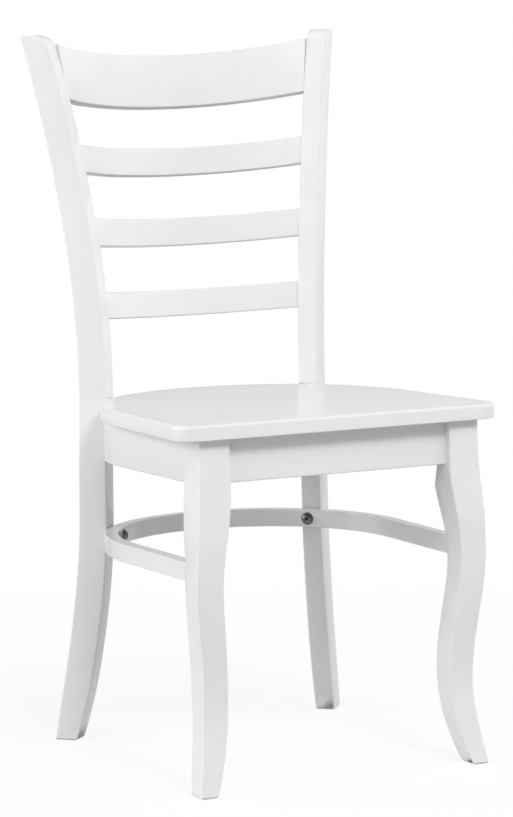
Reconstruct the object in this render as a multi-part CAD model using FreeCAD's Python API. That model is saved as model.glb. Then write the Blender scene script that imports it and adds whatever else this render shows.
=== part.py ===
import FreeCAD, Part
import math
import os

# Dining side chair. Millimetres, +Z up, front edge of the seat towards -Y, floor at zero.
# The pieces are drawn about one upright hub line at x = 0, y = 0, from which both back legs
# and both bent hoops are set out. At the end everything is moved to the middle of the footprint.

# Driving sizes
overall_height = 931.0
seat_height = 460.6
seat_slope_deg = 0.53
waist_height = 446.0
leg_spread_deg = 43.1
bare_front_y = -216.5
frame_half_width = 194.0
cut_overrun = 3.0
joint_clearance = 0.2
glue_pocket = 1.0

# Back legs, flat sawn planks that stand edge-on to the hub line
back_leg_housing = 0.4
back_leg_depth = 40.0
back_leg_thickness = 27.0
back_leg_kick = 54.7
back_leg_rake = 69.5
back_leg_arris = 2.0
back_leg_foot_chamfer = 2.0
crown_flat = 13.0
crown_drop = 13.0
# height below the waist, kick to the rear and depth of the plank, from floor to waist
back_leg_lower_shares = [
    (1.00, 1.000, 0.765),
    (0.87, 0.671, 0.945),
    (0.717, 0.402, 0.990),
    (0.565, 0.208, 1.000),
    (0.39, 0.080, 0.980),
    (0.19, 0.050, 0.962),
    (0.00, 0.000, 0.958),
]
# height above the waist, rake to the rear and depth of the plank, up to the crown
back_leg_upper_shares = [
    (0.20, 0.025, 0.955),
    (0.40, 0.145, 0.952),
    (0.60, 0.368, 0.930),
    (0.80, 0.649, 0.912),
    (1.00, 1.000, 0.882),
]

# Front legs, sawn to one curve seen from the front and another seen from the side
front_leg_width = 41.0
front_leg_depth = 43.5
front_leg_side_sway = 8.1
front_leg_front_sway = 5.5
front_leg_arris = 1.4
front_leg_foot_chamfer = 2.0
front_leg_flat = 12.0
front_leg_flat_height = 74.0
front_leg_flat_runout = 42.0
# height, outward sway, width, forward sway and depth, from floor to the top block
front_leg_shares = [
    (0.000, 1.00, 0.540, 0.64, 0.706),
    (0.088, 0.28, 0.727, -0.93, 0.745),
    (0.197, -0.51, 0.788, -2.16, 0.791),
    (0.329, -0.49, 0.798, -1.71, 0.895),
    (0.461, 0.27, 0.829, -0.42, 0.885),
    (0.570, 0.90, 0.866, 0.44, 0.845),
    (0.658, 0.85, 0.895, 0.89, 0.894),
    (0.746, 0.62, 0.990, 1.00, 1.036),
    (0.835, 0.23, 1.045, 0.36, 1.050),
    (0.920, 0.02, 1.010, 0.04, 1.005),
    (1.000, 0.00, 1.000, 0.00, 1.000),
]

# Seat panel
seat_thickness = 19.2
seat_front_overhang = 13.2
seat_rear_y = 218.6
seat_rear_radius = 202.1
seat_side_overhang = 29.8
seat_rear_arc_deg = 60.0
seat_side_arc_deg = 86.8
seat_corner_radius = 28.0
seat_top_edge_radius = 4.5
seat_under_edge_radius = 1.0

# Front apron
apron_height = 56.0
apron_thickness = 20.0
front_apron_setback = 11.0
apron_edge_radius = 1.5

# Bent hoop that is the side and rear apron in one
hoop_rear_y = 219.6
hoop_rear_radius = 211.0
hoop_rear_arc_deg = 21.5
hoop_side_setback = 1.5
hoop_side_arc_deg = 89.6
hoop_edge_radius = 1.5

# Bent hoop that is the stretcher
stretcher_bottom = 264.0
stretcher_height = 23.3
stretcher_thickness = 18.0
stretcher_rear_y = 225.8
stretcher_rear_radius = 195.0
stretcher_rear_arc_deg = 62.0
stretcher_side_overhang = 1.9
stretcher_side_arc_deg = 91.3
stretcher_edge_radius = 1.6

# Bowed rails of the back
rail_thickness = 18.0
rail_bow_radius = 250.0
rail_edge_radius = 1.6
crest_height = 71.0
upper_slat_height = 36.2
middle_slat_height = 36.2
lower_slat_height = 34.6
rail_recess = 2.7
# place of each rail's bottom edge between the waist of the back legs and their top
crest_place_share = 0.8295
upper_slat_place_share = 0.632
middle_slat_place_share = 0.433
lower_slat_place_share = 0.236
crest_lean_deg = 13.9
upper_slat_lean_deg = 11.4
middle_slat_lean_deg = 9.4
lower_slat_lean_deg = 7.8

# Beech dowels
dowel_diameter = 8.0
dowel_chamfer = 0.8
rail_dowel_length = 28.0
slat_dowel_margin = 9.5
crest_dowel_top_margin = 15.0
crest_dowel_bottom_margin = 37.0
apron_dowel_length = 32.0
apron_dowel_margin = 15.0
stretcher_dowel_length = 32.0

# Connector bolts, washers and threaded inserts at the back legs
bolt_diameter = 6.0
bolt_clearance = 0.6
bolt_head_diameter = 14.0
bolt_head_height = 4.2
bolt_head_rim = 1.0
bolt_socket = 4.0
bolt_socket_depth = 2.4
bolt_tip_chamfer = 0.8
washer_diameter = 16.5
washer_thickness = 1.5
washer_seat_depth = 1.0
insert_diameter = 10.0
insert_length = 15.0
insert_setback = 2.4
bolt_end_gap = 2.0
apron_bolt_margin = 15.0

# Corner blocks with their hanger bolts, nuts and washers
block_height = 34.0
block_drop = 6.0
block_thickness = 20.0
block_gap = 2.0
hanger_diameter = 8.0
hanger_in_leg = 26.0
hanger_tail = 4.0
hanger_tip_chamfer = 1.0
hanger_washer_diameter = 20.0
hanger_washer_thickness = 1.6
nut_across_flats = 13.0
nut_thickness = 6.5

# Wood screws
screw_diameter = 4.5
screw_head_diameter = 8.5
screw_head_height = 2.6
screw_head_rim = 0.5
screw_tip_length = 4.0
screw_recess_diameter = 10.0
block_screw_seat = 9.0
block_screw_length = 24.0
block_screw_leg_gap = 17.0
seat_screw_recess = 10.0
seat_screw_bite = 12.0
seat_screw_offset = 14.0

# Slim screws driven up from the underside of the crest into the posts
crest_screw_diameter = 3.5
crest_screw_head_diameter = 6.2
crest_screw_recess_diameter = 6.8
crest_screw_length = 24.0
crest_screw_recess = 4.0
crest_screw_setback = 9.0
crest_screw_lean_deg = 35.0

# Seat brackets, bent from strip, on the inner face of the hoop
bracket_width = 15.0
bracket_leg = 20.0
bracket_thickness = 2.0
bracket_bend_radius = 2.5
bracket_side_y = -30.0
bracket_hole_margin = 8.0
bracket_hole_clearance = 0.3
bracket_screw_length = 14.0

# Places that several pieces share
origin = FreeCAD.Vector(0, 0, 0)
up = FreeCAD.Vector(0, 0, 1)
across = FreeCAD.Vector(1, 0, 0)
backward = FreeCAD.Vector(0, 1, 0)
seat_underside = seat_height - seat_thickness
apron_bottom = seat_underside - apron_height
seat_front_y = bare_front_y - seat_front_overhang
front_leg_back_y = bare_front_y + front_leg_depth
front_leg_inner_x = frame_half_width - front_leg_width
front_apron_y = bare_front_y + front_apron_setback
front_apron_back_y = front_apron_y + apron_thickness
spread = math.radians(leg_spread_deg)
leg_out = FreeCAD.Vector(math.sin(spread), math.cos(spread), 0)
leg_inward = FreeCAD.Vector(-math.cos(spread), math.sin(spread), 0)


def smooth_edge(points):
    curve = Part.BSplineCurve()
    curve.interpolate(points)
    return curve.toShape()


def line(first, last):
    return Part.LineSegment(first, last).toShape()


def prism(edges, travel):
    return Part.Face(Part.Wire(Part.__sortEdges__(edges))).extrude(travel)


def polygon_prism(points, travel):
    return Part.Face(Part.makePolygon(points + [points[0]])).extrude(travel)


def mirrored(shape):
    return shape.mirror(origin, across)


def both_sides(shapes):
    return shapes + [mirrored(shape) for shape in shapes]


def tilted(shape):
    # The seat and all that hangs under it fall a little towards the rear.
    copy = shape.copy()
    pivot = FreeCAD.Vector(0, bare_front_y, seat_height)
    copy.rotate(pivot, across, -seat_slope_deg)
    return copy


def aimed(shape, base, direction):
    copy = shape.copy()
    copy.Placement = FreeCAD.Placement(base, FreeCAD.Rotation(up, direction))
    return copy


def rod(diameter, base, direction, length):
    return Part.makeCylinder(diameter / 2, length, base, direction)


def cut_all(shape, tools):
    for tool in tools:
        shape = shape.cut(tool)
    return shape


def rounded(shape, edges, radius):
    return shape.makeFillet(radius, edges)


def level_edges(shape, height):
    # Edges that lie wholly at one height.
    tolerance = cut_overrun / 1000
    return [e for e in shape.Edges
            if abs(e.BoundBox.ZMin - height) < tolerance and abs(e.BoundBox.ZMax - height) < tolerance]


def turned(points):
    face = Part.Face(Part.makePolygon(points + [points[0]]))
    return face.revolve(origin, up, 360)


# Outlines of the hoops and the seat

class Horseshoe:
    # An outline seen from above: an arc across the rear, an arc to each side and straight flanks.
    # The side arcs have the radius that brings the flanks to a half width at a place along them.
    def __init__(self, rear_y, rear_radius, rear_arc_deg, side_arc_deg, half_width, half_width_y):
        self.rear_radius = rear_radius
        self.rear_turn = math.radians(rear_arc_deg)
        self.side_turn = math.radians(side_arc_deg)
        self.rear_centre = FreeCAD.Vector(0, rear_y - rear_radius, 0)
        join = self.around(self.rear_centre, rear_radius, self.rear_turn)
        slant = 1 / math.tan(self.side_turn)
        sideways = math.sin(self.side_turn) - math.sin(self.rear_turn)
        forward = math.cos(self.rear_turn) - math.cos(self.side_turn)
        width_left = half_width - join.x - (join.y - half_width_y) * slant
        self.side_radius = width_left / (sideways - forward * slant)
        self.side_centre = self.around(join, -self.side_radius, self.rear_turn)

    def around(self, centre, radius, turn):
        return centre + FreeCAD.Vector(radius * math.sin(turn), radius * math.cos(turn), 0)

    def flank_x(self, y, inset):
        side_end = self.around(self.side_centre, self.side_radius - inset, self.side_turn)
        return side_end.x + (side_end.y - y) / math.tan(self.side_turn)

    def end(self, end_y, inset):
        return FreeCAD.Vector(self.flank_x(end_y, inset), end_y, 0)

    def edges(self, end_y, inset):
        rear = self.around(self.rear_centre, self.rear_radius - inset, 0)
        join = self.around(self.rear_centre, self.rear_radius - inset, self.rear_turn)
        half_turn = (self.rear_turn + self.side_turn) / 2
        side_middle = self.around(self.side_centre, self.side_radius - inset, half_turn)
        side_end = self.around(self.side_centre, self.side_radius - inset, self.side_turn)
        result = [Part.Arc(mirror_point(join), rear, join).toShape()]
        for place in (lambda point: point, mirror_point):
            result.append(Part.Arc(place(join), place(side_middle), place(side_end)).toShape())
            result.append(line(place(side_end), place(self.end(end_y, inset))))
        return result

    def reach(self, inset):
        # How far from the hub line a back leg's middle plane meets this outline.
        reach = reach_to_circle(self.rear_centre, self.rear_radius - inset)
        place = leg_out * reach - self.rear_centre
        if math.atan2(place.x, place.y) > self.rear_turn:
            reach = reach_to_circle(self.side_centre, self.side_radius - inset)
        return reach

    def band(self, end_y, thickness, bottom, height):
        edges = self.edges(end_y, 0) + self.edges(end_y, thickness)
        for place in (lambda point: point, mirror_point):
            edges.append(line(place(self.end(end_y, 0)), place(self.end(end_y, thickness))))
        band = prism(edges, FreeCAD.Vector(0, 0, height))
        band.translate(up * bottom)
        return band


def mirror_point(point):
    return FreeCAD.Vector(-point.x, point.y, point.z)


def reach_to_circle(centre, radius):
    along = leg_out.dot(centre)
    return along + math.sqrt(along ** 2 - centre.dot(centre) + radius ** 2)


hoop_form = Horseshoe(hoop_rear_y, hoop_rear_radius, hoop_rear_arc_deg, hoop_side_arc_deg,
                      frame_half_width - hoop_side_setback, front_leg_back_y)
stretcher_form = Horseshoe(stretcher_rear_y, stretcher_rear_radius, stretcher_rear_arc_deg,
                           stretcher_side_arc_deg, frame_half_width + stretcher_side_overhang,
                           front_leg_back_y)
seat_form = Horseshoe(seat_rear_y, seat_rear_radius, seat_rear_arc_deg, seat_side_arc_deg,
                      frame_half_width + seat_side_overhang, seat_front_y)
back_leg_distance = hoop_form.reach(0) - back_leg_housing


# Back legs

def back_leg_points():
    front = []
    back = []
    lower_span = waist_height
    upper_span = overall_height - crown_drop - waist_height
    for height_share, kick_share, depth_share in back_leg_lower_shares:
        reach = back_leg_distance + kick_share * back_leg_kick
        height = waist_height - height_share * lower_span
        front.append(FreeCAD.Vector(reach, 0, height))
        back.append(FreeCAD.Vector(reach + depth_share * back_leg_depth, 0, height))
    for height_share, rake_share, depth_share in back_leg_upper_shares:
        reach = back_leg_distance + rake_share * back_leg_rake
        height = waist_height + height_share * upper_span
        front.append(FreeCAD.Vector(reach, 0, height))
        back.append(FreeCAD.Vector(reach + depth_share * back_leg_depth, 0, height))
    # The rear edge runs straight on up to the top of the crown.
    last_rise = back[-1] - back[-2]
    back.append(back[-1] + last_rise * (crown_drop / last_rise.z))
    return front, back


def back_leg_blank():
    front, back = back_leg_points()
    crown_start = back[-1] - FreeCAD.Vector(crown_flat, 0, 0)
    front_rise = (front[-1] - front[-2]).normalize()
    roll = Part.BezierCurve()
    roll_share = 0.55
    roll.setPoles([
        front[-1],
        front[-1] + front_rise * (roll_share * crown_drop),
        crown_start - FreeCAD.Vector(roll_share * (crown_start.x - front[-1].x), 0, 0),
        crown_start,
    ])
    edges = [
        smooth_edge(front),
        roll.toShape(),
        line(crown_start, back[-1]),
        smooth_edge(back),
        line(back[0], front[0]),
    ]
    side = FreeCAD.Vector(0, back_leg_thickness / 2, 0)
    blank = prism(edges, side * 2)
    blank.translate(side.negative())
    blank = blank.makeChamfer(back_leg_foot_chamfer, level_edges(blank, 0))
    broad_face_edges = [e for e in blank.Edges
                        if e.BoundBox.YLength < joint_clearance and e.BoundBox.ZMax > waist_height]
    blank = rounded(blank, broad_face_edges, back_leg_arris)
    blank.rotate(origin, up, 90 - leg_spread_deg)
    return blank


# Front legs

def front_leg_blank():
    outer = []
    inner = []
    front = []
    back = []
    top = seat_height
    for height_share, side_share, width_share, front_share, depth_share in front_leg_shares:
        height = height_share * seat_underside
        outer_x = frame_half_width + side_share * front_leg_side_sway
        front_y = bare_front_y - front_share * front_leg_front_sway
        outer.append(FreeCAD.Vector(outer_x, 0, height))
        inner.append(FreeCAD.Vector(outer_x - width_share * front_leg_width, 0, height))
        front.append(FreeCAD.Vector(0, front_y, height))
        back.append(FreeCAD.Vector(0, front_y + depth_share * front_leg_depth, height))
    profiles = []
    for first, second, travel in (
            (outer, inner, FreeCAD.Vector(0, -2 * frame_half_width, 0)),
            (front, back, FreeCAD.Vector(2 * frame_half_width, 0, 0))):
        top_first = FreeCAD.Vector(first[-1].x, first[-1].y, top)
        top_second = FreeCAD.Vector(second[-1].x, second[-1].y, top)
        edges = [
            smooth_edge(first),
            line(first[-1], top_first),
            line(top_first, top_second),
            line(top_second, second[-1]),
            smooth_edge(second),
            line(second[0], first[0]),
        ]
        profiles.append(prism(edges, travel))
    profiles[0].translate(FreeCAD.Vector(0, frame_half_width / 2, 0))
    return profiles[0].common(profiles[1])


def front_leg_corner_cut():
    # The flat across the inner corner of the top block, where the hanger bolt goes in. It runs out below.
    half = math.sqrt(0.5)
    inward = FreeCAD.Vector(-half, half, 0)
    along = FreeCAD.Vector(half, half, 0)
    corner = FreeCAD.Vector(front_leg_inner_x, front_leg_back_y, 0)
    depth = front_leg_flat * half
    flat_bottom = seat_height - front_leg_flat_height
    profile = [
        corner - inward * depth + up * (seat_height + cut_overrun),
        corner - inward * depth + up * flat_bottom,
        corner + inward * depth + up * (flat_bottom - 2 * front_leg_flat_runout),
        corner + inward * depth + up * (seat_height + cut_overrun),
    ]
    side = along * front_leg_depth
    return polygon_prism([point - side for point in profile], side * 2)


# Bent hoops

def apron_hoop_band(bottom, height):
    return hoop_form.band(front_leg_back_y - cut_overrun, apron_thickness, bottom, height)


def stretcher_band(bottom, height):
    # Its ends run on into the front legs and are trimmed by them.
    return stretcher_form.band(front_leg_back_y - front_leg_depth / 2, stretcher_thickness, bottom, height)


# Seat panel

def seat_blank(bottom, height):
    corner = seat_form.end(seat_front_y, 0)
    panel = prism(seat_form.edges(seat_front_y, 0) + [line(corner, mirror_point(corner))],
                  FreeCAD.Vector(0, 0, height))
    panel.translate(up * bottom)
    corners = [e for e in panel.Edges
               if e.BoundBox.ZLength > height / 2 and e.BoundBox.YMax < bare_front_y]
    return rounded(panel, corners, seat_corner_radius)


def seat_panel_level():
    panel = seat_blank(seat_underside, seat_thickness)
    panel = rounded(panel, level_edges(panel, seat_height), seat_top_edge_radius)
    return rounded(panel, level_edges(panel, seat_underside), seat_under_edge_radius)


# Bowed rails

def back_leg_front_at(height):
    # How far from the hub line the front edge of a back leg stands at a height.
    level = line(FreeCAD.Vector(0, 0, height), FreeCAD.Vector(2 * back_leg_distance, 0, height))
    front = smooth_edge(back_leg_points()[0])
    return front.distToShape(level)[1][0][0].x


class Rail:
    def __init__(self, place_share, height, lean_deg, dowel_margins):
        # The lower front edge ends on the inner faces of the back legs, a little behind their front edges.
        self.bottom = waist_height + place_share * (overall_height - waist_height)
        self.height = height
        self.lean_deg = lean_deg
        self.dowel_margins = dowel_margins
        reach = back_leg_front_at(self.bottom) + rail_recess
        corner = leg_out * reach + leg_inward * (back_leg_thickness / 2)
        self.half_chord = corner.x
        self.end_y = corner.y
        lean = math.radians(lean_deg)
        self.rise = FreeCAD.Vector(0, math.sin(lean), math.cos(lean))

    def solid(self):
        # An arc band drawn level on its bottom edge, tipped back about the line through its ends.
        sink = math.sqrt(rail_bow_radius ** 2 - self.half_chord ** 2)
        centre = FreeCAD.Vector(0, self.end_y - sink, self.bottom)
        outer_radius = rail_bow_radius + rail_thickness
        # Each side of the blank passes the legs, which stand where the half chord ends.
        sweep = math.asin(self.half_chord / rail_bow_radius) + math.atan(back_leg_depth / rail_bow_radius)
        ends = []
        edges = []
        for radius in (rail_bow_radius, outer_radius):
            left = centre + FreeCAD.Vector(-radius * math.sin(sweep), radius * math.cos(sweep), 0)
            right = centre + FreeCAD.Vector(radius * math.sin(sweep), radius * math.cos(sweep), 0)
            edges.append(Part.Arc(left, centre + backward * radius, right).toShape())
            ends.append((left, right))
        edges.append(line(ends[0][0], ends[1][0]))
        edges.append(line(ends[0][1], ends[1][1]))
        band = prism(edges, FreeCAD.Vector(0, 0, self.height))
        long_edges = [e for e in band.Edges
                      if e.BoundBox.ZLength < joint_clearance and e.BoundBox.XLength > self.half_chord]
        band = rounded(band, long_edges, rail_edge_radius)
        band.rotate(FreeCAD.Vector(0, self.end_y, self.bottom), across, -self.lean_deg)
        return band.common(between_legs())

    def end_centre(self, solid):
        # Middle of the face that stands against the right back leg.
        end_faces = [f for f in solid.Faces if f.CenterOfMass.x > 0
                     and f.Area > rail_thickness * rail_thickness
                     and abs(f.CenterOfMass.dot(leg_inward) - back_leg_thickness / 2) < joint_clearance]
        return end_faces[0].CenterOfMass

    def dowel_places(self, solid):
        centre = self.end_centre(solid)
        below, above = self.dowel_margins
        half = self.height / 2
        return [centre + self.rise * (below - half), centre + self.rise * (half - above)]


def between_legs():
    # The wedge of space between the inner faces of the two back legs.
    apex_y = (back_leg_thickness / 2) / math.sin(spread)
    apex = FreeCAD.Vector(0, apex_y, 0)
    depth = seat_rear_y * 2
    half = depth * math.tan(spread)
    wedge = polygon_prism([
        apex,
        apex + FreeCAD.Vector(-half, depth, 0),
        apex + FreeCAD.Vector(half, depth, 0),
    ], FreeCAD.Vector(0, 0, overall_height * 2))
    return wedge


# Dowels, bolts and screws

def dowel(place, direction, length):
    # Centred on its place.
    radius = dowel_diameter / 2
    body = turned([
        origin,
        FreeCAD.Vector(radius - dowel_chamfer, 0, 0),
        FreeCAD.Vector(radius, 0, dowel_chamfer),
        FreeCAD.Vector(radius, 0, length - dowel_chamfer),
        FreeCAD.Vector(radius - dowel_chamfer, 0, length),
        FreeCAD.Vector(0, 0, length),
    ])
    return aimed(body, place - direction * (length / 2), direction)


def dowel_hole(place, direction, length):
    full = length + 2 * glue_pocket
    return rod(dowel_diameter, place - direction * (full / 2), direction, full)


def hexagon(across_flats, height, bottom):
    radius = across_flats / math.sqrt(3)
    points = []
    for corner in range(6):
        turn = math.radians(60 * corner)
        points.append(FreeCAD.Vector(radius * math.cos(turn), radius * math.sin(turn), bottom))
    return polygon_prism(points, FreeCAD.Vector(0, 0, height))


def bolt(place, direction, length):
    # Domed head with a hexagon socket. The place is the seat under the head.
    head_radius = bolt_head_diameter / 2
    shank_radius = bolt_diameter / 2
    top = FreeCAD.Vector(0, 0, -bolt_head_height)
    rim = FreeCAD.Vector(head_radius, 0, -bolt_head_rim)
    dome_share = 0.72
    shoulder = FreeCAD.Vector(head_radius * dome_share, 0,
                              -(bolt_head_rim + (bolt_head_height - bolt_head_rim) * dome_share))
    outline = [
        Part.Arc(top, shoulder, rim).toShape(),
        line(rim, FreeCAD.Vector(head_radius, 0, 0)),
        line(FreeCAD.Vector(head_radius, 0, 0), FreeCAD.Vector(shank_radius, 0, 0)),
        line(FreeCAD.Vector(shank_radius, 0, 0),
             FreeCAD.Vector(shank_radius, 0, length - bolt_tip_chamfer)),
        line(FreeCAD.Vector(shank_radius, 0, length - bolt_tip_chamfer),
             FreeCAD.Vector(shank_radius - bolt_tip_chamfer, 0, length)),
        line(FreeCAD.Vector(shank_radius - bolt_tip_chamfer, 0, length), FreeCAD.Vector(0, 0, length)),
        line(FreeCAD.Vector(0, 0, length), top),
    ]
    body = Part.Face(Part.Wire(outline)).revolve(origin, up, 360)
    socket = hexagon(bolt_socket, bolt_socket_depth, -bolt_head_height)
    return aimed(body.cut(socket), place, direction)


def washer(place, direction, outside, bore, thickness):
    # The place is the face that the washer lies on, and its body is behind that face.
    ring = Part.makeCylinder(outside / 2, thickness).cut(Part.makeCylinder(bore / 2, thickness))
    return aimed(ring, place - direction * thickness, direction)


def insert(place, direction):
    tube = Part.makeCylinder(insert_diameter / 2, insert_length)
    tube = tube.cut(Part.makeCylinder(bolt_diameter / 2, insert_length))
    return aimed(tube, place, direction)


def screw(place, direction, length, diameter=screw_diameter, head_diameter=screw_head_diameter):
    # Pan head with a shank that ends in a point. The place is the seat under the head.
    crown_share = 0.7
    return aimed(turned([
        FreeCAD.Vector(0, 0, -screw_head_height),
        FreeCAD.Vector(head_diameter / 2 * crown_share, 0, -screw_head_height),
        FreeCAD.Vector(head_diameter / 2, 0, -screw_head_rim),
        FreeCAD.Vector(head_diameter / 2, 0, 0),
        FreeCAD.Vector(diameter / 2, 0, 0),
        FreeCAD.Vector(diameter / 2, 0, length - screw_tip_length),
        FreeCAD.Vector(0, 0, length),
    ]), place, direction)


def nut(place, direction, bore):
    body = hexagon(nut_across_flats, nut_thickness, 0)
    body = body.cut(Part.makeCylinder(bore / 2, nut_thickness))
    return aimed(body, place - direction * nut_thickness, direction)


class BoltedJoint:
    # A connector bolt from the inner face of a hoop into the front edge of the right back leg.
    def __init__(self, form, band_thickness, height):
        self.seat = leg_out * (form.reach(band_thickness) + washer_seat_depth) + up * height
        self.insert_place = leg_out * (form.reach(0) + insert_setback) + up * height
        grip = (self.insert_place - self.seat).Length
        self.length = washer_thickness + grip + insert_length
        self.bolt = bolt(self.seat - leg_out * washer_thickness, leg_out, self.length)
        self.washer = washer(self.seat, leg_out, washer_diameter, bolt_diameter + bolt_clearance,
                             washer_thickness)
        self.insert = insert(self.insert_place, leg_out)

    def hoop_cuts(self):
        recess = rod(washer_diameter + bolt_clearance, self.seat - leg_out * back_leg_depth, leg_out,
                     back_leg_depth)
        hole = rod(bolt_diameter + bolt_clearance, self.seat, leg_out, stretcher_thickness + apron_thickness)
        return [recess, hole]

    def leg_cuts(self):
        lead = rod(insert_diameter, self.insert_place - leg_out * (insert_setback + cut_overrun), leg_out,
                   insert_setback + cut_overrun + insert_length)
        tip = rod(bolt_diameter + bolt_clearance, self.insert_place, leg_out, insert_length + bolt_end_gap)
        return [lead, tip]


class CornerBlock:
    # The right block, a glued and screwed brace across the corner behind the front leg.
    def __init__(self):
        half = math.sqrt(0.5)
        self.inward = FreeCAD.Vector(-half, half, 0)
        self.along = FreeCAD.Vector(half, half, 0)
        self.top = seat_underside - block_drop
        middle = self.top - block_height / 2
        flat_middle = FreeCAD.Vector(front_leg_inner_x + front_leg_flat / 2,
                                     front_leg_back_y - front_leg_flat / 2, middle)
        self.leg_face = flat_middle
        self.near = flat_middle + self.inward * block_gap
        self.far = self.near + self.inward * block_thickness
        self.screw_line = self.near + self.inward * (block_thickness / 2) + self.along * seat_screw_offset
        self.front_screw_x = front_leg_inner_x - block_screw_leg_gap
        self.side_screw_y = front_leg_back_y + block_screw_leg_gap

    def solid(self):
        # A strip on the diagonal that runs into both aprons and is trimmed by them.
        run = self.along * (frame_half_width / 2)
        bottom = FreeCAD.Vector(0, 0, -block_height / 2)
        strip = polygon_prism([
            self.near + bottom - run,
            self.near + bottom + run,
            self.far + bottom + run,
            self.far + bottom - run,
        ], FreeCAD.Vector(0, 0, block_height))
        left = front_leg_inner_x - frame_half_width / 2
        room = Part.makeBox(frame_half_width - apron_thickness / 2 - left, frame_half_width,
                            block_height * 2,
                            FreeCAD.Vector(left, front_apron_back_y, self.top - block_height * 2))
        strip = strip.common(room)
        cuts = [self.hanger_hole(), self.seat_screw_hole()] + self.front_holes() + self.side_holes()
        return cut_all(strip, cuts)

    def hanger_hole(self):
        return rod(hanger_diameter + bolt_clearance, self.near - self.inward * block_gap, self.inward,
                   block_gap + block_thickness + cut_overrun)

    def leg_cuts(self):
        hole = rod(hanger_diameter, self.leg_face - self.inward * (hanger_in_leg + glue_pocket), self.inward,
                   hanger_in_leg + glue_pocket + front_leg_flat)
        return [tilted(hole)]

    def hanger(self):
        start = self.leg_face - self.inward * hanger_in_leg
        length = (hanger_in_leg + block_gap + block_thickness + hanger_washer_thickness
                  + nut_thickness + hanger_tail)
        radius = hanger_diameter / 2
        return aimed(turned([
            origin,
            FreeCAD.Vector(radius - hanger_tip_chamfer, 0, 0),
            FreeCAD.Vector(radius, 0, hanger_tip_chamfer),
            FreeCAD.Vector(radius, 0, length - hanger_tip_chamfer),
            FreeCAD.Vector(radius - hanger_tip_chamfer, 0, length),
            FreeCAD.Vector(0, 0, length),
        ]), start, self.inward)

    def hanger_washer(self):
        return washer(self.far, self.inward.negative(), hanger_washer_diameter,
                      hanger_diameter + bolt_clearance, hanger_washer_thickness)

    def hanger_nut(self):
        return nut(self.far + self.inward * hanger_washer_thickness, self.inward.negative(), hanger_diameter)

    def wall_screw_places(self):
        # Each screw seats in a recess bored square to its apron.
        front = FreeCAD.Vector(self.front_screw_x, front_apron_back_y + block_screw_seat, self.leg_face.z)
        side_face_x = frame_half_width - apron_thickness
        side = FreeCAD.Vector(side_face_x - block_screw_seat, self.side_screw_y, self.leg_face.z)
        return [(front, backward.negative()), (side, across)]

    def wall_screws(self):
        return [screw(place, direction, block_screw_length) for place, direction in self.wall_screw_places()]

    def recessed_hole(self, place, direction, length):
        hole = rod(screw_diameter, place, direction, length + glue_pocket)
        recess = rod(screw_recess_diameter, place - direction * block_thickness, direction, block_thickness)
        return hole.fuse(recess)

    def front_holes(self):
        place, direction = self.wall_screw_places()[0]
        return [self.recessed_hole(place, direction, block_screw_length)]

    def side_holes(self):
        place, direction = self.wall_screw_places()[1]
        return [self.recessed_hole(place, direction, block_screw_length)]

    def seat_screw_place(self):
        bottom = self.top - block_height
        return FreeCAD.Vector(self.screw_line.x, self.screw_line.y, bottom + seat_screw_recess)

    def seat_screw_length(self):
        return seat_underside + seat_screw_bite - self.seat_screw_place().z

    def seat_screw(self):
        return screw(self.seat_screw_place(), up, self.seat_screw_length())

    def seat_screw_hole(self):
        place = self.seat_screw_place()
        hole = rod(screw_diameter, place, up, block_height)
        return hole.fuse(rod(screw_recess_diameter, place - up * block_height, up, block_height))

    def seat_holes(self):
        return [rod(screw_diameter, self.seat_screw_place(), up, self.seat_screw_length() + glue_pocket)]


class CrestScrew:
    # Driven up at a slant from a recess in the underside of the crest into the right post.
    def __init__(self, rail, solid):
        lean = math.radians(crest_screw_lean_deg)
        self.direction = rail.rise * math.cos(lean) - leg_inward * math.sin(lean)
        under_edge = rail.end_centre(solid) - rail.rise * (rail.height / 2)
        mouth = under_edge + leg_inward * crest_screw_setback
        self.place = mouth + self.direction * crest_screw_recess

    def solid(self):
        return screw(self.place, self.direction, crest_screw_length, crest_screw_diameter,
                     crest_screw_head_diameter)

    def hole(self):
        shank = rod(crest_screw_diameter, self.place, self.direction, crest_screw_length + glue_pocket)
        recess = rod(crest_screw_recess_diameter, self.place - self.direction * (2 * crest_screw_recess),
                     self.direction, 2 * crest_screw_recess)
        return shank.fuse(recess)


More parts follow.
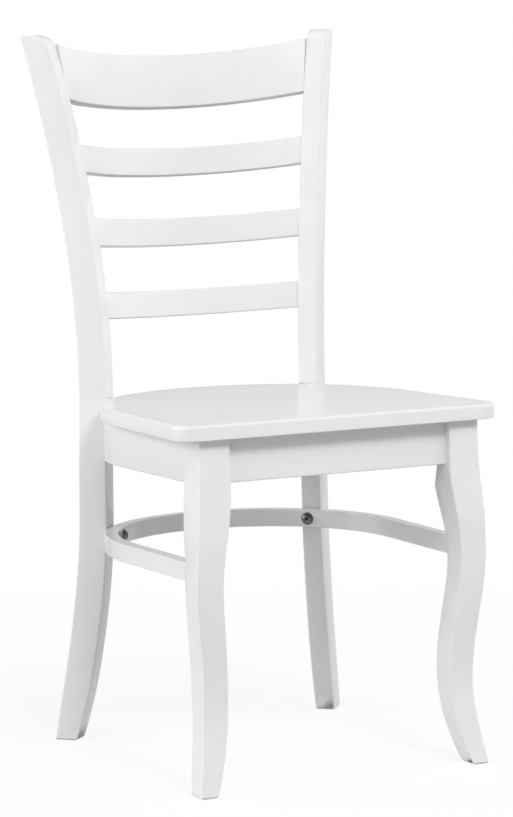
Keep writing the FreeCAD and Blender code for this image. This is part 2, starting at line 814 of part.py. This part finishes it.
class SeatBrackets:
    # One bracket in the middle of the rear and one on each side of the hoop.
    def __init__(self):
        self.side_turn_deg = 90 - hoop_side_arc_deg
        self.side = FreeCAD.Vector(hoop_form.flank_x(bracket_side_y, apron_thickness), bracket_side_y,
                                   seat_underside)
        # The flat bracket at the rear bears with its two edges on the hollow of the hoop.
        hollow = hoop_rear_radius - apron_thickness
        bearing = math.sqrt(hollow ** 2 - (bracket_width / 2) ** 2)
        self.rear = hoop_form.rear_centre + FreeCAD.Vector(0, bearing, seat_underside)

    def place(self, shape, spot, turn_deg):
        copy = shape.copy()
        copy.rotate(origin, up, turn_deg)
        copy.translate(spot)
        return copy

    def three(self, shape):
        right = self.place(shape, self.side, self.side_turn_deg)
        return [right, mirrored(right), self.place(shape, self.rear, 90)]

    def bracket(self):
        # Drawn for the right side: the wall flange lies on x = 0 and the seat flange on z = 0.
        half = bracket_width / 2
        corner = FreeCAD.Vector(0, -half, 0)
        t = bracket_thickness
        profile = polygon_prism([
            corner,
            corner + FreeCAD.Vector(-bracket_leg, 0, 0),
            corner + FreeCAD.Vector(-bracket_leg, 0, -t),
            corner + FreeCAD.Vector(-t, 0, -t),
            corner + FreeCAD.Vector(-t, 0, -bracket_leg),
            corner + FreeCAD.Vector(0, 0, -bracket_leg),
        ], FreeCAD.Vector(0, bracket_width, 0))
        bends = [e for e in profile.Edges if e.BoundBox.YLength > half
                 and e.BoundBox.XMin > -t - joint_clearance and e.BoundBox.ZMin > -t - joint_clearance]
        inner = [e for e in bends if e.BoundBox.XMax < -t / 2]
        profile = rounded(profile, inner, bracket_bend_radius - t / 2)
        hole = screw_diameter + bracket_hole_clearance
        middle = bracket_leg - bracket_hole_margin
        profile = profile.cut(rod(hole, FreeCAD.Vector(-middle, 0, -t), up, t))
        return profile.cut(rod(hole, FreeCAD.Vector(-t, 0, -middle), across, t))

    def solids(self):
        return self.three(self.bracket())

    def screws(self):
        t = bracket_thickness
        middle = bracket_leg - bracket_hole_margin
        into_seat = screw(FreeCAD.Vector(-middle, 0, -t), up, bracket_screw_length)
        into_wall = screw(FreeCAD.Vector(-t, 0, -middle), across, bracket_screw_length)
        return self.three(into_seat) + self.three(into_wall)

    def holes(self):
        middle = bracket_leg - bracket_hole_margin
        length = bracket_screw_length - bracket_thickness + glue_pocket
        into_seat = rod(screw_diameter, FreeCAD.Vector(-middle, 0, 0), up, length)
        into_wall = rod(screw_diameter, FreeCAD.Vector(0, 0, -middle), across, length)
        return self.three(into_seat) + self.three(into_wall)


def build():
    nodes = {}

    # Level shapes of the seat group, drawn before they are tipped by the slope of the seat
    seat = seat_panel_level()
    hoop = apron_hoop_band(apron_bottom, apron_height)
    hoop = rounded(hoop, [e for e in level_edges(hoop, apron_bottom)
                          if e.BoundBox.YMax > front_leg_back_y], hoop_edge_radius)
    front_apron = Part.makeBox(2 * (front_leg_inner_x + cut_overrun), apron_thickness, apron_height,
                               FreeCAD.Vector(-front_leg_inner_x - cut_overrun, front_apron_y, apron_bottom))
    front_apron = rounded(front_apron, [e for e in level_edges(front_apron, apron_bottom)
                                        if e.BoundBox.XLength > front_leg_inner_x], apron_edge_radius)

    # Front legs
    leg = front_leg_blank()
    below_seat = Part.makeBox(4 * frame_half_width, 4 * frame_half_width, seat_underside * 2,
                              FreeCAD.Vector(-2 * frame_half_width, -2 * frame_half_width, -seat_underside))
    leg = leg.common(tilted(below_seat))
    leg = leg.cut(front_leg_corner_cut())
    leg = leg.makeChamfer(front_leg_foot_chamfer, level_edges(leg, 0))
    arrises = [e for e in leg.Edges if e.BoundBox.ZLength > waist_height / 2]
    front_leg = rounded(leg, arrises, front_leg_arris)

    # Back legs, housed where the hoops and the seat bear on them
    back_leg = back_leg_blank()
    stretcher_seat = stretcher_band(stretcher_bottom - joint_clearance,
                                    stretcher_height + 2 * joint_clearance)
    hoop_seat = tilted(apron_hoop_band(apron_bottom - joint_clearance, apron_height + 2 * joint_clearance))
    seat_seat = tilted(seat_blank(seat_underside - joint_clearance, seat_thickness + 2 * joint_clearance))
    back_leg = cut_all(back_leg, [stretcher_seat, hoop_seat, seat_seat])

    # Hoops trimmed by the front legs
    whole_front_legs = both_sides([front_leg])
    stretcher = stretcher_band(stretcher_bottom, stretcher_height)
    stretcher = rounded(stretcher, [e for e in stretcher.Edges if e.BoundBox.ZLength < joint_clearance
                                    and e.BoundBox.YMax > front_leg_back_y], stretcher_edge_radius)
    stretcher = largest(cut_all(stretcher, whole_front_legs))
    hoop = largest(cut_all(tilted(hoop), whole_front_legs))
    front_apron = largest(cut_all(tilted(front_apron), whole_front_legs))
    seat = tilted(seat)

    # Bolted joints of the hoops
    stretcher_joint = BoltedJoint(stretcher_form, stretcher_thickness,
                                  stretcher_bottom + stretcher_height / 2)
    apron_joints = [BoltedJoint(hoop_form, apron_thickness, height) for height in (
        apron_bottom + apron_bolt_margin, seat_underside - apron_bolt_margin)]
    stretcher = cut_all(stretcher, both_sides(stretcher_joint.hoop_cuts()))
    back_leg = cut_all(back_leg, stretcher_joint.leg_cuts())
    for joint in apron_joints:
        hoop = cut_all(hoop, [tilted(s) for s in both_sides(joint.hoop_cuts())])
        back_leg = cut_all(back_leg, [tilted(s) for s in joint.leg_cuts()])

    # Rails of the back
    slat_margins = (slat_dowel_margin, slat_dowel_margin)
    rails = {
        "crest_rail": Rail(crest_place_share, crest_height, crest_lean_deg,
                           (crest_dowel_bottom_margin, crest_dowel_top_margin)),
        "back_slat_upper": Rail(upper_slat_place_share, upper_slat_height, upper_slat_lean_deg, slat_margins),
        "back_slat_middle": Rail(middle_slat_place_share, middle_slat_height, middle_slat_lean_deg,
                                 slat_margins),
        "back_slat_lower": Rail(lower_slat_place_share, lower_slat_height, lower_slat_lean_deg, slat_margins),
    }
    rail_dowels = []
    for name, rail in rails.items():
        solid = rail.solid()
        places = rail.dowel_places(solid)
        holes = [dowel_hole(place, leg_inward, rail_dowel_length) for place in places]
        rail_dowels += [dowel(place, leg_inward, rail_dowel_length) for place in places]
        if name == "crest_rail":
            crest_screw = CrestScrew(rail, solid)
            holes.append(crest_screw.hole())
        nodes[name] = [cut_all(solid, both_sides(holes))]
        back_leg = cut_all(back_leg, holes)
    nodes["rail_dowels"] = both_sides(rail_dowels)
    nodes["crest_screws"] = both_sides([crest_screw.solid()])

    # Dowels of the aprons and the stretcher in the front legs
    apron_dowels = []
    apron_heights = [apron_bottom + apron_dowel_margin, seat_underside - apron_dowel_margin]
    hoop_end_x = frame_half_width - apron_thickness / 2
    for height in apron_heights:
        for place, direction in (
                (FreeCAD.Vector(front_leg_inner_x, front_apron_y + apron_thickness / 2, height), across),
                (FreeCAD.Vector(hoop_end_x, front_leg_back_y, height), backward)):
            apron_dowels.append(tilted(dowel(place, direction, apron_dowel_length)))
            hole = tilted(dowel_hole(place, direction, apron_dowel_length))
            front_leg = front_leg.cut(hole)
            hoop = cut_all(hoop, both_sides([hole]))
            front_apron = cut_all(front_apron, both_sides([hole]))
    nodes["apron_dowels"] = both_sides(apron_dowels)
    stretcher_end = [f for f in stretcher.Faces
                     if f.CenterOfMass.x > 0 and f.CenterOfMass.y < front_leg_back_y][0].CenterOfMass
    stretcher_hole = dowel_hole(stretcher_end, backward, stretcher_dowel_length)
    stretcher = cut_all(stretcher, both_sides([stretcher_hole]))
    front_leg = front_leg.cut(stretcher_hole)
    nodes["stretcher_dowels"] = both_sides([dowel(stretcher_end, backward, stretcher_dowel_length)])

    # Corner blocks behind the front legs
    block = CornerBlock()
    front_leg = cut_all(front_leg, block.leg_cuts())
    hoop = cut_all(hoop, both_sides([tilted(s) for s in block.side_holes()]))
    front_apron = cut_all(front_apron, both_sides([tilted(s) for s in block.front_holes()]))
    seat = cut_all(seat, both_sides([tilted(s) for s in block.seat_holes()]))
    corner_block = largest(cut_all(tilted(block.solid()), [hoop, front_apron]))
    nodes["corner_block_right"] = [corner_block]
    nodes["corner_block_left"] = [mirrored(corner_block)]
    nodes["hanger_bolts"] = both_sides([tilted(block.hanger())])
    nodes["hanger_washers"] = both_sides([tilted(block.hanger_washer())])
    nodes["hanger_nuts"] = both_sides([tilted(block.hanger_nut())])
    nodes["block_screws"] = both_sides([tilted(s) for s in block.wall_screws()])
    nodes["seat_screws"] = both_sides([tilted(block.seat_screw())])

    # Brackets that hold the seat to the hoop
    brackets = SeatBrackets()
    nodes["seat_brackets"] = [tilted(s) for s in brackets.solids()]
    nodes["bracket_screws"] = [tilted(s) for s in brackets.screws()]
    screw_holes = [tilted(s) for s in brackets.holes()]
    hoop = cut_all(hoop, screw_holes)
    seat = cut_all(seat, screw_holes)

    nodes["seat_panel"] = [seat]
    nodes["apron_front"] = [front_apron]
    nodes["apron_hoop"] = [hoop]
    nodes["stretcher_hoop"] = [stretcher]
    nodes["front_leg_right"] = [front_leg]
    nodes["front_leg_left"] = [mirrored(front_leg)]
    nodes["rear_leg_right"] = [back_leg]
    nodes["rear_leg_left"] = [mirrored(back_leg)]
    nodes["stretcher_bolts"] = both_sides([stretcher_joint.bolt])
    nodes["stretcher_washers"] = both_sides([stretcher_joint.washer])
    nodes["apron_bolts"] = both_sides([tilted(joint.bolt) for joint in apron_joints])
    nodes["apron_washers"] = both_sides([tilted(joint.washer) for joint in apron_joints])
    nodes["leg_inserts"] = both_sides([stretcher_joint.insert]
                                      + [tilted(joint.insert) for joint in apron_joints])
    return nodes


def largest(shape):
    return max(shape.Solids, key=lambda solid: solid.Volume)


def save(nodes):
    os.makedirs("parts", exist_ok=True)
    whole = Part.makeCompound([shape for shapes in nodes.values() for shape in shapes])
    box = whole.optimalBoundingBox(False, False)
    shift = FreeCAD.Vector(0, -(box.YMin + box.YMax) / 2, 0)
    print("overall", round(box.XLength, 1), round(box.YLength, 1), round(box.ZLength, 1))
    for name, shapes in nodes.items():
        group = shapes[0] if len(shapes) == 1 else Part.makeCompound(shapes)
        group.translate(shift)
        group.exportStep("parts/" + name + ".step")
        print(name, len(group.Solids), group.isValid(), round(group.Volume / 1000, 2))


save(build())
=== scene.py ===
import bpy
import math
from mathutils import Matrix, Vector


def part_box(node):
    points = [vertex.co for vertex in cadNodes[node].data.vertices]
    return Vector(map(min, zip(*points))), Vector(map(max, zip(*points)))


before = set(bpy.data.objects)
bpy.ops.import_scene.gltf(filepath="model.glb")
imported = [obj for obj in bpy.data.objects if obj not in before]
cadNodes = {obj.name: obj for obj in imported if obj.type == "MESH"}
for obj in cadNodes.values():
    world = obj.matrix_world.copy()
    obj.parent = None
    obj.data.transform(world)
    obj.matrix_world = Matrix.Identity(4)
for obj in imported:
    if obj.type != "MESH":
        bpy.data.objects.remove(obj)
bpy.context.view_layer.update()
print("frame loaded with", len(cadNodes), "nodes")


class Field:
    # one node socket that can be written in plain arithmetic
    def __init__(self, graph, socket):
        self.graph = graph
        self.socket = socket

    def maths(self, operation, *others):
        return self.graph.maths(operation, self, *others)

    def __add__(self, other):
        return self.maths("ADD", other)

    def __mul__(self, other):
        return self.maths("MULTIPLY", other)

    # a sum and a product are the same from either side
    __radd__ = __add__
    __rmul__ = __mul__

    def __sub__(self, other):
        return self.maths("SUBTRACT", other)

    def __rsub__(self, other):
        return self.graph.maths("SUBTRACT", other, self)

    def __truediv__(self, other):
        return self.maths("DIVIDE", other)

    def __pow__(self, other):
        return self.maths("POWER", other)

    def __abs__(self):
        return self.maths("ABSOLUTE")

    def clamp(self):
        return self.graph.node("ShaderNodeClamp", {}, {"Value": self})

    def ramp(self, start, end):
        # goes from 0 at start to 1 at end, whichever is the larger
        return ((self - start) / (end - start)).clamp()


class Graph:
    # the node tree of a material, of the world or of a modifier
    def __init__(self, tree):
        self.tree = tree
        tree.nodes.clear()

    def node(self, kind, settings, inputs, output=0):
        made = self.tree.nodes.new(kind)
        for name, value in settings.items():
            setattr(made, name, value)
        for name, value in inputs.items():
            if isinstance(value, Field):
                self.tree.links.new(value.socket, made.inputs[name])
            else:
                made.inputs[name].default_value = value
        return Field(self, made.outputs[output]) if len(made.outputs) else None

    def maths(self, operation, *values):
        return self.node("ShaderNodeMath", {"operation": operation}, dict(enumerate(values)))

    def parts(self, vector):
        split = self.node("ShaderNodeSeparateXYZ", {}, {"Vector": vector})
        return [Field(self, socket) for socket in split.socket.node.outputs]

    def joined(self, x, y, z):
        return self.node("ShaderNodeCombineXYZ", {}, {"X": x, "Y": y, "Z": z})

    def place(self):
        return self.node("ShaderNodeTexCoord", {}, {}, "Object")

    def mixColour(self, factor, first, second):
        # this node's colours are its inputs 6 and 7 and its output 2
        return self.node("ShaderNodeMix", {"data_type": "RGBA"}, {0: factor, 6: first, 7: second}, 2)

    def noise(self, vector, scale, detail, roughness=0.5):
        return self.node("ShaderNodeTexNoise", {}, {
            "Vector": vector,
            "Scale": scale,
            "Detail": detail,
            "Roughness": roughness,
        }, "Fac")

    def bump(self, height, strength, distance, normal=None):
        inputs = {"Height": height, "Strength": strength, "Distance": distance}
        if normal is not None:
            inputs["Normal"] = normal
        return self.node("ShaderNodeBump", {}, inputs)

    def surface(self, shader):
        self.node("ShaderNodeOutputMaterial", {}, {"Surface": shader})

    def shown(self, glossShare):
        # the rays that see the white ground: the camera's, those through glass and a share in gloss
        rays = self.node("ShaderNodeLightPath", {}, {}).socket.node.outputs
        camera = Field(self, rays["Is Camera Ray"])
        through = Field(self, rays["Is Transmission Ray"])
        glossy = Field(self, rays["Is Glossy Ray"])
        return (camera + through + glossy * glossShare).clamp()


def newMaterial(name):
    material = bpy.data.materials.new(name)
    material.use_nodes = True
    return material, Graph(material.node_tree)


def dress(material, nodeNames):
    # each carried-over CAD node takes one material over all its faces
    for name in nodeNames:
        slots = cadNodes[name].data.materials
        slots.clear()
        slots.append(material)


# white lacquer, with a slow cloudiness and a faint orange peel

lacquer = {
    "colour": (0.83, 0.83, 0.825, 1),
    "shade": (0.80, 0.80, 0.798, 1),
    "cloudScale": 9.0,
    "cloudDetail": 2.0,
    "cloudFrom": 0.1875,
    "cloudTo": 0.8125,
    "roughness": 0.21,
    "roughnessRange": 0.05,
    "ior": 1.47,
    "coat": 0.45,
    "coatRoughness": 0.03,
    "peelScale": 40.0,
    "peelDetail": 2.0,
    "peelStrength": 0.3,
    "peelHeight": 0.000008,
    "edgeRadius": 0.0007,
    "edgeSamples": 4,
}
lacquered = {
    "white_lacquer_upright": ("rear_leg_left", "rear_leg_right", "front_leg_left", "front_leg_right"),
    "white_lacquer_across": ("crest_rail", "back_slat_upper", "back_slat_middle", "back_slat_lower",
                             "apron_front"),
    "white_lacquer_seat": ("seat_panel",),
    "white_lacquer_bent": ("apron_hoop", "stretcher_hoop"),
}


def lacquerMaterial(name):
    material, graph = newMaterial(name)
    place = graph.place()
    cloudy = graph.noise(place, lacquer["cloudScale"], lacquer["cloudDetail"])
    clear = cloudy.ramp(lacquer["cloudFrom"], lacquer["cloudTo"])
    peel = graph.noise(place, lacquer["peelScale"], lacquer["peelDetail"])
    rounded = graph.node("ShaderNodeBevel", {"samples": lacquer["edgeSamples"]},
                         {"Radius": lacquer["edgeRadius"]})
    graph.surface(graph.node("ShaderNodeBsdfPrincipled", {}, {
        "Base Color": graph.mixColour(clear, lacquer["shade"], lacquer["colour"]),
        "Roughness": lacquer["roughness"] + (cloudy - 0.5) * lacquer["roughnessRange"],
        "IOR": lacquer["ior"],
        "Coat Weight": lacquer["coat"],
        "Coat Roughness": lacquer["coatRoughness"],
        "Normal": graph.bump(peel, lacquer["peelStrength"], lacquer["peelHeight"], rounded),
    }))
    return material


for name, members in lacquered.items():
    dress(lacquerMaterial(name), members)
print("lacquered pieces dressed")


# bare beech of the blocks and dowels

beech = {
    "light": (0.66, 0.47, 0.29, 1),
    "dark": (0.50, 0.32, 0.17, 1),
    "fleck": (0.38, 0.22, 0.11, 1),
    "roughness": 0.62,
    "roughnessRange": 0.2,
    "grainStretch": 0.12,
    "ringScale": 38.0,
    "ringDetail": 4.0,
    "ringRoughness": 0.6,
    "ringFrom": 0.25,
    "ringTo": 0.75,
    "fleckScale": 420.0,
    "fleckDetail": 2.0,
    "fleckFrom": 0.62,
    "fleckTo": 0.731,
    "fleckShare": 0.55,
    "fleckRelief": 0.4,
    "reliefStrength": 0.4,
    "reliefHeight": 0.0002,
}
beechNodes = ("corner_block_left", "corner_block_right", "rail_dowels", "apron_dowels", "stretcher_dowels")


def beechMaterial():
    material, graph = newMaterial("bare_beech")
    x, y, z = graph.parts(graph.place())
    along = graph.joined(x * beech["grainStretch"], y * beech["grainStretch"], z)
    rings = graph.noise(along, beech["ringScale"], beech["ringDetail"], beech["ringRoughness"])
    flecks = graph.noise(along, beech["fleckScale"], beech["fleckDetail"])
    early = rings.ramp(beech["ringFrom"], beech["ringTo"])
    flecked = flecks.ramp(beech["fleckFrom"], beech["fleckTo"]) * beech["fleckShare"]
    colour = graph.mixColour(early, beech["dark"], beech["light"])
    relief = rings + flecks * beech["fleckRelief"]
    graph.surface(graph.node("ShaderNodeBsdfPrincipled", {}, {
        "Base Color": graph.mixColour(flecked, colour, beech["fleck"]),
        "Roughness": beech["roughness"] + (rings - 0.5) * beech["roughnessRange"],
        "Normal": graph.bump(relief, beech["reliefStrength"], beech["reliefHeight"]),
    }))
    return material


dress(beechMaterial(), beechNodes)
print("bare beech dressed")


# metal fixings

metals = {
    "dark_steel": {
        "colour": (0.20, 0.20, 0.21, 1),
        "stain": (0.09, 0.09, 0.095, 1),
        "roughness": 0.34,
        "nodes": ("stretcher_bolts", "stretcher_washers", "apron_bolts", "apron_washers",
                  "crest_screws"),
    },
    "zinc_steel": {
        "colour": (0.60, 0.61, 0.62, 1),
        "stain": (0.44, 0.45, 0.47, 1),
        "roughness": 0.32,
        "nodes": ("hanger_bolts", "hanger_washers", "hanger_nuts", "block_screws", "seat_screws",
                  "seat_brackets", "bracket_screws"),
    },
    "insert_brass": {
        "colour": (0.72, 0.55, 0.28, 1),
        "stain": (0.52, 0.37, 0.16, 1),
        "roughness": 0.36,
        "nodes": ("leg_inserts",),
    },
}
metalGrain = {
    "blotchScale": 240.0,
    "blotchDetail": 3.0,
    "blotchFrom": 0.2727,
    "blotchTo": 0.7273,
    "roughnessRange": 0.25,
    "fineScale": 2600.0,
    "fineDetail": 2.0,
    "fineStrength": 0.25,
    "fineHeight": 0.00003,
}
# painted shade: a near-black hexagon on the heads of the stretcher's bolts, painted where the shaded inside
# of each hexagon socket would be
paintedSocketShade = {
    "middle": (0.13224, 0.10318, 0.27565),
    "aim": (0.6817, 0.7316),
    "halfWidth": 0.0021,
    "soft": 0.0003,
    "colour": (0.012, 0.012, 0.013, 1),
}


def paintedHexShadeMask(graph, place):
    # 1 inside the painted-shade hexagon round each bolt's own line; the size of x makes the two sides one
    x, y, z = graph.parts(place)
    middleX, middleY, middleZ = paintedSocketShade["middle"]
    aimX, aimY = paintedSocketShade["aim"]
    side = (y - middleY) * aimX - (abs(x) - middleX) * aimY
    rise = z - middleZ
    reach = abs(rise)
    for turnDeg in (60.0, -60.0):
        turn = math.radians(turnDeg)
        reach = reach.maths("MAXIMUM", abs(rise * math.cos(turn) + side * math.sin(turn)))
    return reach.ramp(paintedSocketShade["halfWidth"], paintedSocketShade["halfWidth"] - paintedSocketShade["soft"])


def metalMaterial(name, look):
    material, graph = newMaterial(name)
    place = graph.place()
    blotch = graph.noise(place, metalGrain["blotchScale"], metalGrain["blotchDetail"])
    bright = blotch.ramp(metalGrain["blotchFrom"], metalGrain["blotchTo"])
    fine = graph.noise(place, metalGrain["fineScale"], metalGrain["fineDetail"])
    colour = graph.mixColour(bright, look["stain"], look["colour"])
    # painted shade: the stretcher's bolts take a near-black hexagon where each socket's shaded inside would
    # be
    if "stretcher_bolts" in look["nodes"]:
        colour = graph.mixColour(paintedHexShadeMask(graph, place), colour, paintedSocketShade["colour"])
    graph.surface(graph.node("ShaderNodeBsdfPrincipled", {}, {
        "Base Color": colour,
        "Metallic": 1.0,
        "Roughness": look["roughness"] + (blotch - 0.5) * metalGrain["roughnessRange"],
        "Normal": graph.bump(fine, metalGrain["fineStrength"], metalGrain["fineHeight"]),
    }))
    return material


for name, look in metals.items():
    dress(metalMaterial(name, look), look["nodes"])
print("metal dressed")


# smooth shading of the carried-over nodes, with their real edges kept sharp

smoothing = {
    "angleDeg": 24.0,
    "weld": 0.000004,
}


def smoothGroup():
    group = bpy.data.node_groups.new("smooth_by_angle", "GeometryNodeTree")
    for way in ("INPUT", "OUTPUT"):
        group.interface.new_socket("Geometry", in_out=way, socket_type="NodeSocketGeometry")
    graph = Graph(group)
    entry = graph.node("NodeGroupInput", {}, {})
    welded = graph.node("GeometryNodeMergeByDistance", {}, {"Geometry": entry, "Distance": smoothing["weld"]})
    faces = graph.node("GeometryNodeSetShadeSmooth", {"domain": "FACE"}, {"Geometry": welded})
    angle = graph.node("GeometryNodeInputMeshEdgeAngle", {}, {}, "Unsigned Angle")
    flat = graph.node("FunctionNodeCompare", {"operation": "LESS_THAN"},
                      {0: angle, 1: math.radians(smoothing["angleDeg"])})
    edges = graph.node("GeometryNodeSetShadeSmooth", {"domain": "EDGE"},
                       {"Geometry": faces, "Shade Smooth": flat})
    graph.node("NodeGroupOutput", {}, {0: edges})
    return group


smoothByAngle = smoothGroup()
for piece in cadNodes.values():
    piece.modifiers.new("smooth_by_angle", "NODES").node_group = smoothByAngle
print("shading smoothed")


# studio floor, matte for the light and near white for what sees it

floor = {
    "half": 9.0,
    "colour": (0.41, 0.41, 0.41, 1),
    "shade": (0.39, 0.39, 0.39, 1),
    "mottleScale": 3.0,
    "mottleDetail": 2.0,
    "roughness": 0.9,
    "specular": 0.2,
    "seen": (0.93, 0.93, 0.93, 1),
    "white": 0.84,
    "fadeFrom": 0.45,
    "fadeTo": 1.5,
    "inGloss": 0.65,
    "dimFrom": 4.4,
    "dimTo": 2.4,
    "dimSideFrom": 0.2,
    "dimSideTo": 0.7,
}


def buildFloor():
    half = floor["half"]
    corners = [(-half, -half, 0), (half, -half, 0), (half, half, 0), (-half, half, 0)]
    mesh = bpy.data.meshes.new("studio_floor")
    mesh.from_pydata(corners, [], [(0, 1, 2, 3)])
    ground = bpy.data.objects.new("studio_floor", mesh)
    bpy.context.scene.collection.objects.link(ground)
    material, graph = newMaterial("studio_floor")
    place = graph.place()
    x, y, z = graph.parts(place)
    away = (x ** 2.0 + y ** 2.0) ** 0.5
    # gloss mirrors the white, except close behind the chair, so that undersides stay dark
    near = away.ramp(floor["dimFrom"], floor["dimTo"])
    behind = (y - abs(x)).ramp(floor["dimSideFrom"], floor["dimSideTo"])
    seen = graph.shown((1.0 - near * behind) * floor["inGloss"])
    mottle = graph.noise(place, floor["mottleScale"], floor["mottleDetail"])
    colour = graph.mixColour(mottle, floor["colour"], floor["shade"])
    matte = graph.node("ShaderNodeBsdfPrincipled", {}, {
        "Base Color": graph.mixColour(seen, colour, floor["seen"]),
        "Roughness": floor["roughness"],
        "Specular IOR Level": floor["specular"],
    })
    glow = graph.node("ShaderNodeEmission", {}, {"Color": (1, 1, 1, 1), "Strength": 1.0})
    # the shadow shows beneath the chair, and the floor fades to white away from it
    white = floor["white"] + away.ramp(floor["fadeFrom"], floor["fadeTo"]) * (1.0 - floor["white"])
    graph.surface(graph.node("ShaderNodeMixShader", {}, {0: seen * white, 1: matte, 2: glow}))
    mesh.materials.append(material)


buildFloor()
print("floor built")


# sky, soft from the sides and the rear for the light and white for what sees it

sky = {
    "ambient": 0.11,
    "sideGlow": 1.15,
    "rearGlow": 0.36,
    "inGloss": 0.2,
}


def buildWorld():
    world = bpy.data.worlds.new("studio")
    bpy.context.scene.world = world
    world.use_nodes = True
    graph = Graph(world.node_tree)
    x, y, z = graph.parts(graph.node("ShaderNodeTexCoord", {}, {}, "Generated"))
    rear = y.maths("MAXIMUM", 0.0)
    light = sky["ambient"] + x ** 2.0 * sky["sideGlow"] + rear ** 2.0 * sky["rearGlow"]
    strength = light + (1.0 - light) * graph.shown(sky["inGloss"])
    background = graph.node("ShaderNodeBackground", {}, {"Color": (1, 1, 1, 1), "Strength": strength})
    graph.node("ShaderNodeOutputWorld", {}, {"Surface": background})


buildWorld()
print("sky built")


# soft lamps on one sphere round the chair: turned from its front, above the level, width and watts

lamps = {
    "distance": 9.0,
    "aim": (0.0, 0.0, 0.45),
}
softboxes = {
    "front_box": {"turnDeg": 0.0, "riseDeg": 40.0, "width": 2.4, "power": 360.0, "mirrored": False},
    "left_box": {"turnDeg": -72.0, "riseDeg": 20.0, "width": 4.4, "power": 130.0, "mirrored": False},
    "right_box": {"turnDeg": 48.0, "riseDeg": 34.0, "width": 4.4, "power": 170.0, "mirrored": False},
    "rear_left_box": {"turnDeg": -125.0, "riseDeg": 16.0, "width": 4.4, "power": 275.0, "mirrored": True},
    "key_lamp": {"turnDeg": -38.0, "riseDeg": 50.0, "width": 1.9, "power": 32.0, "mirrored": False},
}


def buildSoftbox(name, box):
    lamp = bpy.data.lights.new(name, "AREA")
    lamp.shape = "DISK"
    lamp.size = box["width"]
    lamp.energy = box["power"]
    turn = math.radians(box["turnDeg"])
    rise = math.radians(box["riseDeg"])
    outward = Vector((
        math.cos(rise) * math.sin(turn),
        -math.cos(rise) * math.cos(turn),
        math.sin(rise),
    ))
    holder = bpy.data.objects.new(name, lamp)
    holder.location = Vector(lamps["aim"]) + outward * lamps["distance"]
    holder.rotation_euler = (-outward).to_track_quat("-Z", "Y").to_euler()
    holder.visible_camera = False
    holder.visible_glossy = box["mirrored"]
    bpy.context.scene.collection.objects.link(holder)


for name, box in softboxes.items():
    buildSoftbox(name, box)
print("lamps built")


# camera, from the photograph's perspective; lengths of the image are in its pixels

view = {
    "across": -1.945,
    "beforeSeat": 3.7,
    "height": 0.938,
    "yawDeg": 26.10,
    "pitchDeg": 6.53,
    "rollDeg": 1.21,
    "focalPixels": 3425.0,
    "imageWidth": 513.0,
    "imageHeight": 817.0,
    "axisX": 249.1,
    "axisY": 417.6,
    "sensorHeight": 36.0,
    "clipEnd": 60.0,
}


def buildCamera():
    camera = bpy.data.cameras.new("photo_camera")
    camera.sensor_fit = "VERTICAL"
    camera.sensor_height = view["sensorHeight"]
    camera.lens = view["focalPixels"] * view["sensorHeight"] / view["imageHeight"]
    camera.shift_x = (view["imageWidth"] / 2 - view["axisX"]) / view["imageHeight"]
    camera.shift_y = (view["axisY"] - view["imageHeight"] / 2) / view["imageHeight"]
    camera.clip_end = view["clipEnd"]
    yaw = math.radians(view["yawDeg"])
    pitch = math.radians(view["pitchDeg"])
    roll = math.radians(view["rollDeg"])
    forward = Vector((
        math.sin(yaw) * math.cos(pitch),
        math.cos(yaw) * math.cos(pitch),
        -math.sin(pitch),
    ))
    right = Vector((math.cos(yaw), -math.sin(yaw), 0.0))
    down = forward.cross(right)
    imageRight = right * math.cos(roll) + down * math.sin(roll)
    imageDown = down * math.cos(roll) - right * math.sin(roll)
    turn = Matrix((imageRight, -imageDown, -forward)).transposed().to_4x4()
    # the distance is measured from the seat's front edge
    place = (view["across"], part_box("seat_panel")[0].y - view["beforeSeat"], view["height"])
    holder = bpy.data.objects.new("photo_camera", camera)
    holder.matrix_world = Matrix.Translation(place) @ turn
    bpy.context.scene.collection.objects.link(holder)
    bpy.context.scene.camera = holder


buildCamera()
bpy.context.scene.view_settings.view_transform = "Standard"
print("camera placed")
